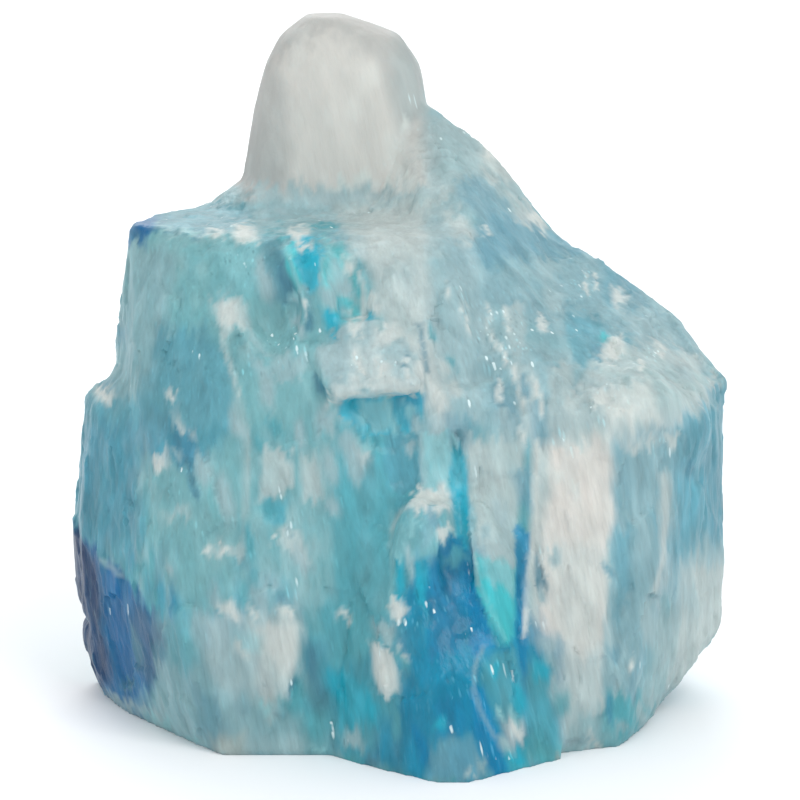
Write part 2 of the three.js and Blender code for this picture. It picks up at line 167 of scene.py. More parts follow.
# Patches that show from the front, painted in this order: [name, tint, strength, edge softness, outline],
# with softness and outlines in pixels of the front view
PATCHES = (
    ("knob", "chalk", 1.0, 8, ((238, 8), (440, 8), (440, 100), (432, 196), (330, 200), (238, 196))),
    ("knob face", "pearl", 0.8, 14,
     ((275, 60), (330, 30), (380, 60), (400, 130), (400, 190), (290, 190), (262, 120))),
    # Painted shade and light on the knob: its sides are darkened with chalk and ash as shade, and its foot is
    # painted paler in frost, as painted light against the shade there
    ("knob left shade", "chalk", 0.9, 12, ((245, 140), (275, 60), (290, 100), (285, 190), (245, 190))),
    ("knob right shade", "chalk", 0.9, 10,
     ((385, 25), (440, 60), (440, 190), (410, 190), (400, 100), (375, 50))),
    ("knob right haze", "ash", 0.6, 12, ((396, 26), (450, 40), (450, 128), (402, 128), (392, 84))),
    ("knob foot light", "frost", 0.5, 10, ((390, 136), (432, 134), (434, 192), (384, 194))),
    ("ledge", "haze", 0.9, 7, ((155, 190), (430, 185), (430, 230), (330, 222), (250, 232), (160, 246))),
    # Painted shade at the ledge's left, darker in storm against the light from above, and painted light at its
    # right, paler in mist against the shade on its top
    ("ledge left", "storm", 0.9, 8, ((120, 196), (244, 200), (256, 218), (236, 230), (168, 238))),
    ("ledge right", "mist", 0.8, 9, ((335, 204), (440, 196), (450, 260), (350, 262))),
    ("upper slope", "haze", 0.95, 9, ((424, 96), (480, 100), (560, 190), (600, 250), (480, 262), (430, 232))),
    ("upper slope grey", "ash", 0.35, 12, ((426, 96), (480, 104), (536, 180), (500, 200), (430, 200))),
    ("slope pocket", "slate", 0.75, 6,
     ((454, 182), (488, 176), (500, 196), (520, 222), (498, 240), (474, 218))),
    ("slope right", "slate", 0.7, 9,
     ((506, 206), (560, 216), (720, 310), (730, 380), (640, 350), (560, 330), (490, 300), (470, 240))),
    ("slope right pale", "haze", 0.7, 7,
     ((620, 272), (660, 280), (740, 370), (700, 372), (640, 340), (610, 318))),
    ("slope right blue", "slate", 0.6, 6,
     ((556, 236), (590, 240), (650, 300), (640, 312), (600, 300), (560, 280))),
    ("slope middle", "slate", 0.8, 9,
     ((446, 236), (520, 216), (600, 250), (606, 320), (560, 330), (480, 310), (450, 290))),
    ("slope field", "fog", 0.9, 9, ((455, 270), (600, 250), (612, 350), (560, 430), (480, 440), (450, 360))),
    ("smooth rim", "haze", 0.8, 9,
     ((420, 214), (462, 214), (480, 262), (474, 330), (484, 424), (430, 436), (424, 330))),
    ("smooth field", "mist", 0.95, 9,
     ((362, 214), (420, 214), (432, 262), (430, 330), (446, 376), (440, 420), (424, 390), (372, 300))),
    ("upper left face", "sage", 0.85, 10,
     ((100, 232), (250, 236), (330, 240), (330, 400), (290, 420), (100, 430), (90, 340))),
    ("left pale band", "fog", 0.75, 9,
     ((100, 244), (172, 250), (170, 330), (146, 400), (100, 410), (90, 350))),
    ("left blue", "steel", 0.8, 8,
     ((160, 330), (205, 326), (226, 360), (238, 440), (205, 470), (142, 470), (138, 400))),
    ("left lobe", "steel", 0.8, 8, ((56, 380), (140, 400), (142, 540), (120, 570), (56, 530), (50, 470))),
    ("left lobe deep", "marine", 0.22, 12, ((76, 430), (160, 408), (204, 450), (150, 520), (76, 570))),
    ("left flat", "sage", 0.85, 9,
     ((140, 455), (190, 470), (240, 420), (250, 520), (240, 600), (196, 620), (150, 570))),
    ("middle left", "sage", 0.7, 9, ((240, 400), (335, 400), (350, 520), (330, 660), (300, 600), (250, 560))),
    ("middle column", "teal", 0.95, 6,
     ((336, 430), (424, 430), (424, 520), (400, 620), (340, 640), (330, 520))),
    ("pillar ground", "mist", 1.0, 6,
     ((533, 436), (614, 430), (616, 530), (608, 556), (614, 640), (602, 706), (560, 740), (545, 650),
      (523, 640), (530, 520))),
    ("pillar", "pearl", 0.95, 6,
     ((553, 446), (612, 436), (616, 530), (604, 556), (608, 640), (598, 700), (566, 716), (552, 640),
      (536, 630), (544, 520))),
    ("pillar low", "mist", 0.75, 14, ((546, 545), (606, 545), (606, 650), (560, 650))),
    ("pillar foot", "haze", 0.8, 12, ((556, 650), (606, 650), (600, 758), (566, 760), (558, 710))),
    ("pillar left", "mist", 0.85, 6, ((468, 440), (530, 434), (516, 520), (512, 560), (474, 560))),
    ("right face", "slate", 0.9, 7,
     ((614, 440), (700, 400), (710, 376), (750, 376), (750, 570), (664, 600), (640, 700), (604, 690),
      (612, 560))),
    ("right face top", "fog", 0.8, 9, ((612, 446), (676, 436), (670, 512), (618, 516))),
    ("right blue", "steel", 0.8, 9, ((686, 452), (710, 408), (750, 392), (750, 550), (690, 560), (670, 560))),
    ("scoop", "fog", 0.9, 4,
     ((618, 514), (650, 506), (656, 560), (646, 640), (632, 690), (600, 690), (608, 600))),
    ("scoop core", "steel", 0.7, 7, ((616, 528), (634, 524), (628, 600), (612, 620))),
    ("scoop rib", "mist", 0.5, 4, ((658, 470), (672, 470), (672, 560), (660, 604), (652, 604), (656, 560))),
    ("lower right", "haze", 0.8, 14,
     ((664, 590), (700, 540), (750, 540), (750, 640), (680, 730), (640, 690))),
    ("lower right pale", "mist", 0.8, 12, ((684, 570), (750, 556), (750, 640), (690, 690), (670, 690))),
    ("lump", "mist", 0.8, 8,
     ((566, 400), (600, 356), (640, 340), (700, 352), (712, 400), (690, 420), (620, 446), (560, 436))),
    ("lump light", "frost", 0.7, 7, ((600, 392), (650, 380), (664, 420), (610, 430))),
    ("recess", "steel", 0.7, 5, ((568, 302), (608, 318), (606, 345), (582, 366), (570, 360))),
    ("recess point", "lagoon", 0.6, 3, ((598, 326), (610, 334), (600, 346))),
    ("prow", "lake", 0.85, 9,
     ((372, 650), (404, 588), (440, 548), (470, 540), (560, 650), (562, 740), (480, 784), (400, 772),
      (330, 750), (320, 680))),
    ("prow left", "teal", 0.8, 10,
     ((330, 600), (400, 610), (398, 700), (360, 760), (300, 740), (276, 720), (300, 690))),
    ("lower left", "fog", 0.85, 10,
     ((150, 620), (210, 610), (250, 690), (300, 722), (300, 764), (190, 752), (150, 730))),
    ("low left teal", "teal", 0.65, 8, ((166, 618), (196, 612), (200, 660), (186, 674), (168, 662))),
    ("lower left pale", "haze", 0.95, 10,
     ((196, 620), (300, 605), (300, 660), (284, 700), (250, 700), (215, 680))),
    ("wedge", "royal", 1.0, 4,
     ((60, 520), (80, 532), (106, 560), (134, 590), (154, 612), (155, 660), (148, 700), (150, 736),
      (110, 726), (56, 640))),
    # The wedge's dark edge is painted navy: the deep blue of the salt, darkened as painted shade on the face
    # turned left, away from the key light
    ("wedge dark edge", "navy", 1.0, 6,
     ((50, 520), (80, 532), (98, 570), (102, 610), (110, 650), (108, 684), (60, 684))),
    ("wedge right", "dusk", 0.85, 6,
     ((136, 600), (156, 612), (166, 638), (158, 664), (152, 690), (134, 660))),
    ("wedge foot", "slate", 0.7, 8, ((104, 690), (124, 704), (152, 690), (156, 740), (110, 730), (96, 700))),
    ("corner blue", "royal", 0.85, 5,
     ((112, 236), (130, 200), (156, 204), (154, 232), (144, 246), (126, 248))),
    # Painted shade: the hollow, its deepest part and the crack beside it are darkened with the shade tint, and
    # its floor is painted paler in sage, as painted light against the shadow in it
    ("hollow", "shade", 0.6, 8, ((258, 236), (284, 240), (298, 290), (298, 308), (270, 302), (262, 270))),
    ("hollow deepest", "shade", 0.4, 6, ((274, 258), (290, 262), (298, 296), (282, 300))),
    ("hollow floor", "sage", 0.7, 4,
     ((249, 308), (274, 304), (296, 310), (300, 330), (286, 350), (268, 352), (252, 334))),
    ("hollow rim", "haze", 0.75, 5, ((246, 352), (268, 364), (302, 350), (304, 368), (290, 384), (262, 384))),
    ("hollow crack", "shade", 0.35, 5, ((300, 298), (314, 294), (316, 322), (306, 328))),
    ("shard", "cyan", 0.95, 3, ((284, 244), (314, 238), (322, 276), (312, 298), (298, 288))),
    ("shard light", "lagoon", 0.8, 3, ((280, 246), (292, 246), (304, 290), (296, 296))),
    ("arc", "lagoon", 0.65, 6, ((326, 238), (352, 256), (364, 292), (354, 320), (336, 300), (324, 268))),
    ("arc pale", "haze", 0.75, 5, ((328, 252), (350, 268), (356, 300), (336, 300))),
    ("small shard", "cyan", 0.75, 4, ((320, 304), (338, 308), (342, 330), (328, 334))),
    ("shelf", "haze", 1.0, 4,
     ((318, 346), (346, 326), (366, 316), (392, 332), (426, 366), (424, 387), (334, 394))),
    ("shelf edge", "frost", 0.6, 4, ((330, 382), (380, 378), (424, 374), (424, 388), (334, 395))),
    ("shelf mist", "haze", 0.7, 5, ((316, 350), (344, 348), (350, 372), (322, 376))),
    ("shelf light", "frost", 0.5, 9, ((350, 342), (378, 338), (398, 366), (396, 384), (356, 384))),
    ("cavity", "cyan", 0.9, 2, ((336, 397), (424, 389), (424, 420), (396, 432), (360, 434), (340, 412))),
    # Painted light: the cavity haze lays aqua over the cavity, for the glow of light through the salt under
    # the shelf
    ("cavity haze", "aqua", 0.75, 6, ((352, 400), (392, 398), (390, 428), (360, 430))),
    ("cavity deep", "azure", 0.3, 4, ((396, 392), (424, 390), (420, 412), (400, 410))),
    ("column", "steel", 0.85, 4, ((386, 432), (422, 430), (424, 484), (400, 500), (384, 470))),
    ("pale column", "aqua", 0.95, 2, ((422, 432), (449, 428), (450, 486), (424, 486))),
    ("cyan stripe", "cyan", 0.9, 2, ((450, 450), (466, 444), (472, 512), (472, 546), (456, 546), (450, 490))),
    ("stripe upper", "teal", 0.5, 6, ((446, 430), (466, 436), (468, 482), (450, 484))),
    ("stripe top", "slate", 0.6, 5, ((440, 404), (476, 420), (470, 450), (450, 440))),
    ("pillar left patch", "slate", 0.8, 5, ((512, 468), (532, 470), (534, 512), (516, 512))),
    ("narrow stripe", "azure", 0.8, 2,
     ((515, 524), (530, 530), (525, 600), (530, 650), (511, 644), (512, 590))),
    ("turquoise", "lagoon", 0.85, 4, ((474, 556), (514, 560), (514, 642), (498, 640), (480, 596))),
    ("turquoise pale", "haze", 0.5, 6, ((478, 540), (512, 540), (512, 590), (486, 580))),
    ("wedge deep", "lake", 1.0, 2,
     ((432, 548), (458, 536), (474, 560), (494, 640), (476, 700), (430, 700), (428, 620))),
    ("wedge deepest", "azure", 0.45, 6,
     ((444, 542), (462, 538), (474, 570), (470, 620), (452, 640), (446, 590))),
    ("wedge bright", "azure", 1.0, 2,
     ((466, 560), (478, 584), (496, 638), (488, 656), (468, 650), (464, 600))),
    ("small stripe left", "cyan", 0.9, 2, ((394, 559), (403, 559), (403, 606), (394, 600))),
    ("small stripe right", "cyan", 0.7, 2, ((418, 562), (429, 562), (429, 606), (418, 600))),
    ("step panel", "aqua", 0.6, 6, ((390, 512), (452, 512), (452, 534), (430, 562), (390, 562))),
    ("step tuft", "frost", 0.9, 4, ((411, 502), (424, 486), (452, 488), (452, 510), (412, 512))),
    # The step glint is a painted highlight on the step
    ("step glint", "frost", 0.9, 2, ((438, 526), (452, 526), (450, 540), (438, 538))),
    ("small tuft", "frost", 0.8, 3, ((386, 608), (400, 602), (408, 616), (392, 622))),
    ("white shard", "frost", 0.95, 3, ((368, 646), (393, 648), (396, 688), (382, 696))),
    ("white blotch", "mist", 0.75, 9,
     ((250, 616), (302, 624), (298, 660), (272, 716), (258, 680), (252, 640))),
    ("white blotch core", "frost", 0.85, 8, ((262, 624), (300, 627), (299, 664), (282, 672), (266, 650))),
    ("white blotch left", "frost", 0.6, 6, ((220, 604), (242, 604), (246, 616), (224, 620))),
    ("white gap", "aqua", 0.5, 8, ((228, 628), (260, 632), (260, 650), (236, 654))),
    ("low slate", "shade", 0.5, 9, ((192, 690), (214, 700), (230, 722), (222, 744), (200, 738))),
    ("foot pale", "sand", 0.45, 7, ((214, 732), (244, 732), (244, 756), (214, 756))),
    ("foot band", "haze", 0.5, 14, ((236, 736), (326, 740), (330, 764), (230, 764))),
    ("lower blue", "shade", 0.55, 9, ((304, 636), (330, 640), (334, 712), (304, 712))),
    ("lower cyan", "cyan", 0.6, 7, ((324, 668), (366, 680), (372, 730), (336, 724))),
    ("prow deep", "lake", 0.9, 6, ((402, 694), (430, 694), (430, 778), (402, 776))),
    ("prow blue", "lake", 0.8, 5, ((430, 640), (470, 650), (476, 740), (440, 720))),
    ("prow blue left", "marine", 0.8, 6, ((430, 548), (446, 540), (462, 566), (460, 650), (432, 662))),
    ("prow band", "azure", 1.0, 3, ((466, 690), (484, 690), (510, 772), (496, 784), (476, 740))),
    ("prow azure", "azure", 0.55, 6, ((432, 698), (462, 700), (472, 738), (438, 742))),
    ("prow light", "fog", 0.4, 7, ((430, 756), (452, 738), (472, 746), (492, 780), (428, 786))),
    ("prow pale", "mist", 0.7, 5, ((500, 716), (524, 712), (528, 738), (506, 742))),
    ("prow lagoon", "teal", 0.7, 6, ((488, 646), (512, 650), (520, 712), (500, 716), (480, 680))),
    ("prow lagoon low", "lagoon", 0.4, 5, ((500, 742), (540, 736), (546, 764), (506, 772))),
    ("prow right", "teal", 0.75, 6, ((526, 670), (554, 656), (564, 752), (530, 764))),
    ("foot brown", "sand", 0.4, 3, ((554, 752), (570, 752), (568, 764), (556, 766))),
    ("right foot blue", "teal", 0.7, 7, ((600, 704), (642, 698), (638, 732), (604, 736))),
    ("right low spot", "marine", 0.6, 4, ((606, 700), (612, 700), (613, 722), (607, 722))),
    ("white on left face", "mist", 0.75, 5, ((208, 300), (246, 304), (248, 326), (224, 334))),
    ("ledge tuft one", "frost", 0.8, 3, ((232, 226), (256, 226), (258, 244), (238, 246))),
    ("ledge tuft two", "frost", 0.8, 3, ((288, 226), (308, 226), (308, 244), (292, 246))),
    ("ledge tuft three", "frost", 0.5, 3, ((206, 230), (224, 230), (226, 242), (208, 240))),
    ("arc tuft", "frost", 0.6, 3, ((342, 256), (356, 260), (354, 272), (342, 270))),
    ("lobe white", "frost", 0.5, 4, ((154, 454), (170, 452), (174, 472), (154, 470))),
    ("lobe blue", "marine", 0.35, 6, ((172, 430), (196, 428), (200, 460), (196, 486), (178, 470))),
    ("left tuft row", "mist", 0.55, 5, ((166, 512), (190, 502), (192, 514), (168, 520))),
    ("left tuft low", "mist", 0.6, 5, ((202, 544), (240, 546), (240, 560), (206, 558))),
    ("grey patch", "mist", 0.85, 4, ((262, 450), (290, 440), (292, 480), (262, 506))),
    ("grey patch right", "mist", 0.75, 5, ((298, 448), (316, 452), (326, 500), (300, 500))),
    ("teal spot", "cyan", 0.5, 4, ((268, 500), (286, 496), (286, 520), (268, 520))),
    ("middle tuft", "frost", 0.7, 4, ((280, 526), (300, 530), (310, 560), (284, 556))),
    ("ridge pale", "mist", 0.25, 3,
     ((220, 335), (226, 335), (250, 440), (250, 480), (244, 560), (238, 560), (242, 470), (240, 440))),
    ("notch white", "frost", 0.6, 4, ((96, 386), (110, 378), (112, 398), (100, 404))),
    ("slope rim", "mist", 0.8, 4, ((508, 196), (528, 208), (556, 228), (540, 232), (516, 220))),
    ("rim white", "mist", 0.8, 5, ((474, 138), (500, 144), (520, 184), (498, 184), (482, 164))),
    ("slope rim low", "haze", 0.5, 5, ((536, 258), (558, 262), (560, 280), (540, 278))),
    ("slope band low", "haze", 0.55, 7, ((596, 312), (640, 314), (676, 334), (664, 342), (610, 334))),
    ("slope triangle", "frost", 0.7, 3, ((606, 340), (622, 334), (626, 360), (600, 362))),
    ("slope tuft", "mist", 0.8, 5, ((444, 216), (462, 212), (478, 236), (470, 246), (456, 234))),
    ("slope band", "mist", 0.6, 6, ((410, 206), (428, 198), (452, 184), (454, 198), (430, 212))),
    ("field tuft", "mist", 0.6, 4, ((505, 305), (520, 300), (536, 380), (540, 440), (520, 430), (512, 370))),
    ("field tuft right", "mist", 0.6, 4, ((548, 370), (566, 360), (572, 400), (560, 440), (546, 430))),
    ("field blue", "slate", 0.7, 5, ((492, 380), (512, 384), (516, 430), (500, 424))),
    ("field blue right", "slate", 0.6, 5, ((528, 400), (546, 400), (548, 444), (532, 440))),
    # Painted shade: the left and right rims are darkened with the shade tint, against the light that falls on
    # the outline
    ("left rim", "shade", 0.4, 8, ((66, 404), (94, 398), (94, 470), (90, 530), (66, 530))),
    ("right rim", "shade", 0.4, 8, ((706, 450), (740, 440), (740, 540), (708, 530))),
)

# How strong the veils over the base coat are, how uneven a patch is, and how far the soft mottling lightens,
# darkens and mists the tints, less so where they are frosted
VEIL = 0.5
PATCH_UNEVEN = 0.25
MOTTLE_LIGHT = 0.2
MOTTLE_DARK = 0.14
MOTTLE_MIST = 0.1
MOTTLE_FROSTED = 0.6
# The front view's marks fade in as the cosine of a face's turn from the eye rises between these
TURNED = (-0.18, 0.02)

# Small tufts and spots of one tint, longer along the grain: [x, y, half width, half height] in view pixels.
# Their edges fade between these shares of their size.
TUFT_STRENGTH = 0.8
TUFT_FADE = (0.3, 1.35)
TUFTS = {
    "frost": (
        (360, 458, 8, 11), (370, 304, 12, 12), (386, 331, 14, 12), (406, 180, 13, 13), (354, 321, 8, 7),
        # (342, 186), (364, 180) and (386, 183) are painted light, against the shade at the knob's foot
        (421, 370, 6, 8), (342, 186, 14, 7), (364, 180, 13, 8), (386, 183, 9, 7), (243, 234, 10, 9),
        (217, 236, 7, 6), (297, 235, 9, 8), (350, 262, 6, 7), (228, 316, 12, 16), (306, 308, 5, 6),
        (358, 328, 8, 6), (384, 368, 8, 10), (360, 360, 4, 10), (330, 400, 6, 8), (409, 370, 4, 8),
        (436, 392, 9, 12), (158, 461, 6, 10), (204, 546, 5, 5), (272, 538, 6, 5), (225, 552, 8, 6),
        (229, 610, 9, 10), (253, 608, 5, 6), (418, 500, 6, 6), (436, 496, 10, 8), (441, 532, 6, 7),
        (396, 612, 8, 7), (380, 668, 9, 22), (404, 652, 5, 7), (520, 437, 5, 5), (556, 472, 8, 9),
        (572, 488, 6, 8), (634, 664, 4, 10), (600, 400, 12, 9), (628, 412, 16, 9), (614, 348, 8, 10),
        (661, 349, 6, 6), (641, 368, 4, 6), (485, 231, 4, 5), (404, 128, 6, 9), (487, 154, 8, 8),
        (538, 220, 11, 8), (172, 396, 6, 6), (181, 424, 6, 7), (103, 392, 5, 8), (286, 618, 9, 6),
        # From (488, 318) to (541, 323) the thin marks are painted glints, highlights of tiny facets, as are
        # (661, 349), (485, 231) and (404, 128) above
        (516, 726, 8, 10), (345, 614, 8, 6), (488, 318, 3, 12), (496, 340, 3, 14), (504, 358, 3, 16),
        (513, 374, 3, 14), (499, 392, 3, 10), (520, 398, 3, 10), (533, 384, 3, 12), (541, 406, 3, 12),
        (509, 320, 3, 10), (547, 326, 4, 8), (470, 322, 3, 12), (462, 308, 3, 10), (446, 290, 3, 9),
        (584, 285, 3, 10), (595, 281, 3, 7), (541, 323, 4, 9), (618, 299, 7, 9),
    ),
    "haze": (
        (260, 270, 5, 14), (264, 286, 10, 18), (330, 290, 10, 14), (346, 288, 9, 16), (300, 322, 5, 8),
        (268, 392, 9, 20), (238, 420, 9, 20), (300, 430, 8, 18), (205, 470, 10, 20), (226, 500, 8, 30),
        (300, 560, 12, 14), (330, 470, 9, 20), (412, 445, 8, 8), (410, 560, 5, 20), (500, 520, 10, 24),
        (650, 620, 12, 26), (690, 600, 14, 20), (700, 560, 12, 10), (560, 690, 9, 16), (482, 330, 8, 26),
        (520, 340, 9, 30), (556, 300, 10, 16), (350, 740, 12, 10), (505, 745, 9, 8), (326, 418, 13, 18),
        (348, 446, 12, 14), (354, 466, 12, 16), (384, 630, 14, 12), (548, 646, 11, 14), (116, 698, 9, 8),
        # (418, 420) is painted light, the glow in the cavity under the shelf
        (157, 718, 9, 13), (168, 566, 4, 9), (472, 774, 8, 6), (418, 420, 8, 9), (294, 298, 7, 6),
        (620, 694, 10, 7), (666, 438, 14, 7), (643, 717, 10, 10), (654, 702, 9, 8), (216, 601, 9, 7),
        (505, 420, 9, 10), (194, 435, 5, 9), (334, 505, 8, 12), (469, 417, 7, 8), (508, 433, 6, 6),
        (128, 706, 10, 7), (143, 715, 9, 6),
    ),
    "teal": (
        (273, 425, 7, 14), (258, 442, 6, 10), (286, 452, 4, 12), (244, 540, 5, 22), (272, 508, 7, 9),
        (402, 658, 7, 12), (563, 702, 8, 14), (433, 334, 6, 9), (452, 360, 6, 10), (456, 560, 14, 8),
        (330, 620, 8, 20), (246, 536, 4, 22), (376, 540, 8, 24), (360, 620, 10, 20), (395, 722, 8, 16),
    ),
    "cyan": (
        (309, 262, 7, 16), (305, 248, 7, 7), (495, 669, 6, 9), (333, 318, 6, 12), (368, 320, 4, 5),
        (352, 408, 8, 8), (320, 246, 5, 6), (398, 580, 4, 22), (424, 586, 4, 20), (340, 692, 9, 20),
        (440, 724, 9, 12), (463, 505, 5, 24), (520, 700, 8, 14), (545, 672, 10, 12), (517, 755, 8, 6),
        (372, 712, 8, 18),
    ),
    "royal": (
        (118, 636, 10, 30), (142, 226, 10, 10),
    ),
    "azure": (
        (476, 644, 7, 11), (420, 742, 8, 22), (482, 616, 7, 24), (477, 600, 6, 16), (522, 656, 8, 16),
        (476, 730, 7, 26),
    ),
    "shade": (
        (284, 280, 6, 18), (309, 322, 6, 8), (320, 386, 6, 8), (136, 646, 6, 24), (314, 668, 8, 26),
        (180, 442, 3, 9), (188, 466, 4, 10), (196, 486, 4, 10), (539, 574, 5, 18), (406, 360, 3, 5),
        (536, 582, 3, 14), (545, 586, 3, 12), (160, 650, 5, 12), (161, 221, 8, 5), (688, 471, 7, 10),
        (127, 682, 8, 7), (368, 762, 9, 6), (290, 687, 7, 9),
    ),
    "mist": (
        (454, 389, 8, 10), (634, 446, 10, 7), (650, 441, 9, 6), (672, 435, 8, 6), (714, 380, 8, 9),
        (447, 366, 7, 9), (241, 653, 8, 9), (596, 742, 9, 6), (219, 607, 7, 6),
    ),
    "aqua": (
        (413, 526, 8, 6), (393, 556, 5, 8), (332, 408, 6, 7), (456, 437, 5, 8), (328, 250, 7, 8),
        # (412, 406) is painted light, the glow in the cavity under the shelf
        (412, 406, 9, 7), (364, 282, 6, 10), (293, 295, 7, 7), (514, 713, 6, 7), (364, 448, 8, 8),
        (500, 716, 5, 7), (267, 706, 8, 7), (152, 719, 8, 7), (166, 724, 8, 6), (318, 748, 8, 5),
        (192, 737, 8, 5),
    ),
    "fog": (
        (526, 362, 9, 10), (554, 556, 8, 9), (436, 112, 9, 9), (609, 568, 6, 9), (485, 532, 6, 9),
        (292, 536, 7, 7), (554, 662, 8, 8), (624, 731, 9, 6), (178, 418, 8, 10), (213, 594, 8, 7),
        (540, 599, 6, 10), (179, 455, 6, 8), (629, 592, 7, 9), (483, 768, 6, 7),
    ),
    "slate": (
        (434, 524, 8, 7), (599, 352, 8, 9), (620, 276, 10, 8), (632, 286, 9, 7), (106, 380, 9, 7),
        (281, 605, 9, 6), (122, 333, 8, 12), (612, 656, 7, 9), (430, 516, 8, 6), (609, 570, 6, 11),
        (200, 232, 8, 5), (522, 382, 6, 9),
    ),
}

# Fine bright and dark lines: [tint, strength, half width, route] in view pixels, and how far their edges fade
LINE_FADE = 3.0
LINES = (
    ("frost", 0.35, 0.8, ((222, 332), (224, 350), (233, 375), (239, 394))),
    ("mist", 0.25, 1.8, ((239, 394), (247, 430), (248, 480), (241, 556))),
    ("frost", 0.4, 1.2, ((391, 529), (399, 513), (412, 504))),
    ("aqua", 0.4, 0.8, ((391, 529), (391, 603))),
    ("mist", 0.45, 1.0, ((470, 432), (471, 536), (479, 584))),
    ("aqua", 0.35, 0.8, ((480, 584), (504, 640))),
    ("haze", 0.4, 0.8, ((484, 646), (476, 664), (473, 689), (482, 712), (496, 738))),
    ("haze", 0.5, 1.2, ((104, 560), (121, 575))),
    ("frost", 0.7, 2.0, ((338, 396), (380, 393), (420, 388))),
    ("aqua", 0.6, 1.2, ((284, 240), (292, 268), (302, 296))),
    ("mist", 0.7, 1.2, ((358, 272), (364, 290), (363, 318))),
    ("aqua", 0.8, 2.0, ((386, 398), (395, 432))),
    ("haze", 0.45, 1.0, ((246, 318), (254, 340), (266, 354), (284, 358))),
    ("mist", 0.6, 1.8, ((666, 476), (668, 520), (662, 560), (652, 590))),
    ("shade", 0.6, 1.2, ((419, 325), (424, 352), (427, 371))),
    ("frost", 0.6, 1.6, ((526, 610), (524, 636))),
    ("haze", 0.6, 1.6, ((420, 432), (424, 484))),
    ("frost", 0.5, 1.8, ((538, 440), (534, 490), (536, 530), (528, 570), (524, 630))),
)

# Painted glints, highlights of tiny facets painted as bright marks, which also draw the fine strokes stronger:
# [x, y, reach] in pixels of the front view, and how much they do so everywhere else
PAINTED_GLINT_OTHER = 0.04
PAINTED_GLINT_SPOTS = (
    (252, 262, 14), (180, 480, 16), (196, 524, 12), (286, 524, 16), (297, 588, 14), (253, 560, 8),
    (290, 350, 22), (248, 370, 14), (360, 362, 9), (386, 368, 12), (460, 300, 14), (506, 340, 32),
    (585, 285, 14), (445, 530, 12), (405, 615, 18), (472, 634, 8), (470, 690, 24), (500, 680, 20),
    (540, 620, 16), (560, 450, 24), (610, 410, 24), (405, 130, 14), (360, 66, 8), (540, 560, 18),
    (430, 600, 20), (655, 350, 12), (663, 450, 12), (330, 740, 20), (236, 260, 12), (320, 330, 9),
    (102, 612, 8), (128, 612, 10), (640, 670, 10), (500, 745, 18),
)

# Fine marks: streaks and strokes of the material, and glints painted as highlights of tiny facets. Scales to
# the metre, how far each is drawn out along the grain, and its light. Strokes are [channel of chance,
# strength, blend, colour].
STREAK_SCALE = 1500.0
STREAK_SQUEEZE = 0.16
STREAK_LIGHT = (0.88, 1.08)
STROKE_SCALE = 2300.0
STROKE_SQUEEZE = 0.17
STROKES = (
    ("Red", 0.9, "ADD", (0.09, 0.23, 0.25, 1)),
    ("Green", 0.8, "MULTIPLY", (0.6, 0.62, 0.64, 1)),
)
# Painted glints: bright marks in the base colour that stand for highlights of tiny facets
GLINT_SCALE = 1500.0
GLINT_CHOSEN = 0.58
GLINT_EDGE = (0.54, 0.38)
PAINTED_GLINT_BRIGHTNESS = (0.4, 1.2)
PAINTED_GLINT_COLOUR = (0.80, 0.94, 0.94, 1)
FACET_SCALE = 700.0
FACET_SQUEEZE = 0.4
BUMP_HEIGHT = 0.25

# The salt itself: roughness from clear to frosted, and how light goes through it
ROUGHNESS = (0.26, 0.55)
IOR = 1.544
TRANSMISSION = 0.3
SCATTER_DEPTH = 1.4
DEEP_BLUE = (0.04, 0.81, 0.905, 1)
ABSORPTION = 115.0


def linear(tint):
    """The tint of 0 to 255 as light: each channel over 255, by the sRGB curve."""
    c = np.array(TINTS[tint], float) / 255
    return np.where(c <= 0.04045, c / 12.92, ((c + 0.055) / 1.055) ** 2.4)


def smoothstep(low, high, value):
    """0 below low and 1 above high, and between them 3t^2 - 2t^3 of the share t of the way."""
    t = np.clip((value - low) / (high - low), 0, 1)
    return t * t * (3 - 2 * t)


def scatter(cell, channel):
    """A repeatable number from 0 to 1 for each whole-number cell, in a pattern of its own for each channel.
    The three indices are multiplied by large odd numbers and joined by exclusive or, and two rounds of
    shifting and multiplying mix the bits."""
    mask = np.uint64(0xFFFFFFFF)
    i = cell.astype(np.int64).astype(np.uint64) & mask
    odd = [np.uint64(number) for number in ODD_NUMBERS]
    h = (i[..., 0] * odd[0]) ^ (i[..., 1] * odd[1]) ^ (i[..., 2] * odd[2])
    h = (h ^ np.uint64(channel * 2654435761 % 2**32)) & mask
    h = ((h ^ (h >> np.uint64(15))) * np.uint64(2246822519)) & mask
    h = ((h ^ (h >> np.uint64(13))) * np.uint64(3266489917)) & mask
    return ((h ^ (h >> np.uint64(16))) & np.uint64(0xFFFFFF)).astype(float) / 0x1000000


def soft_noise(points, size, channel):
    """Value noise from 0 to 1: the eight corners of each point's box, blended by the smooth share of the
    way."""
    q = points / np.asarray(size, float)
    low = np.floor(q)
    share = q - low
    w = share * share * (3 - 2 * share)
    total = np.zeros(len(points))
    for corner in np.ndindex(2, 2, 2):
        c = np.array(corner)
        weight = np.prod(np.where(c == 1, w, 1 - w), axis=1)
        total += weight * scatter(low + c, channel)
    return total


